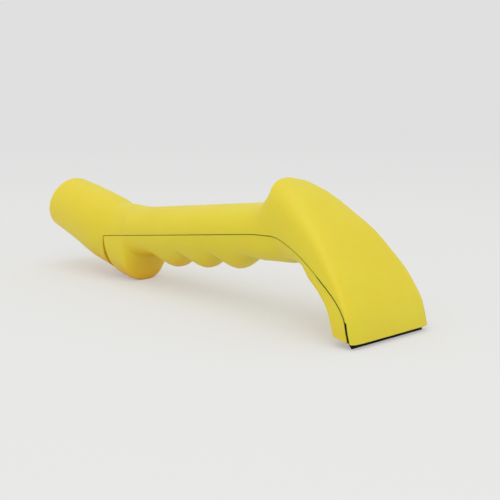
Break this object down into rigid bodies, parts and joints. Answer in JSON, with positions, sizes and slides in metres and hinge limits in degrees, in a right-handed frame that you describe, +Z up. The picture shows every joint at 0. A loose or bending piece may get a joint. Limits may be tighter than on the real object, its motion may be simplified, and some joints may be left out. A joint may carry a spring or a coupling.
{
  "type": "hand scraper",
  "caption": "Hollow two-shell hand scraper with a steel blade behind its front lip, finger grips and a round tail that takes a vacuum hose.",
  "frame": {"origin": "middle of the whole length and width, on the surface that the blade's edge and the heel's foot stand on", "axes": "+X forward from the hose end to the blade, +Y to the user's left, +Z up"},
  "size_m": [0.299, 0.063, 0.0779],
  "materials": {
    "housing": "matt moulded yellow plastic",
    "plate": "blackened steel",
    "blade": "dark hardened steel, bright at the ground edge",
    "fasteners": "zinc plated steel"
  },
  "bodies": {
    "housing": {"upper_shell": "housing", "lower_shell": "housing", "backing_plate": "plate", "case_screw_heel": "fasteners", "case_screw_grip": "fasteners", "case_screw_neck": "fasteners", "case_screw_head_left": "fasteners", "case_screw_head_right": "fasteners"},
    "blade": {"blade": "blade"},
    "screw_left": {"blade_screw_left": "fasteners", "lock_washer_left": "fasteners"},
    "screw_right": {"blade_screw_right": "fasteners", "lock_washer_right": "fasteners"}
  },
  "joints": [
    {"name": "blade_pull_out", "type": "slide", "parent": "housing", "child": "blade", "axis": [0.2419, 0, -0.9703], "range_m": [0, 0.016]},
    {"name": "screw_left_turn", "type": "hinge", "parent": "housing", "child": "screw_left", "pos_m": [0.14189, 0.0145, 0.00763], "axis": [-0.9703, 0, -0.2419], "range_deg": [0, 540]},
    {"name": "screw_right_turn", "type": "hinge", "parent": "housing", "child": "screw_right", "pos_m": [0.14189, -0.0145, 0.00763], "axis": [-0.9703, 0, -0.2419], "range_deg": [0, 540]}
  ]
}
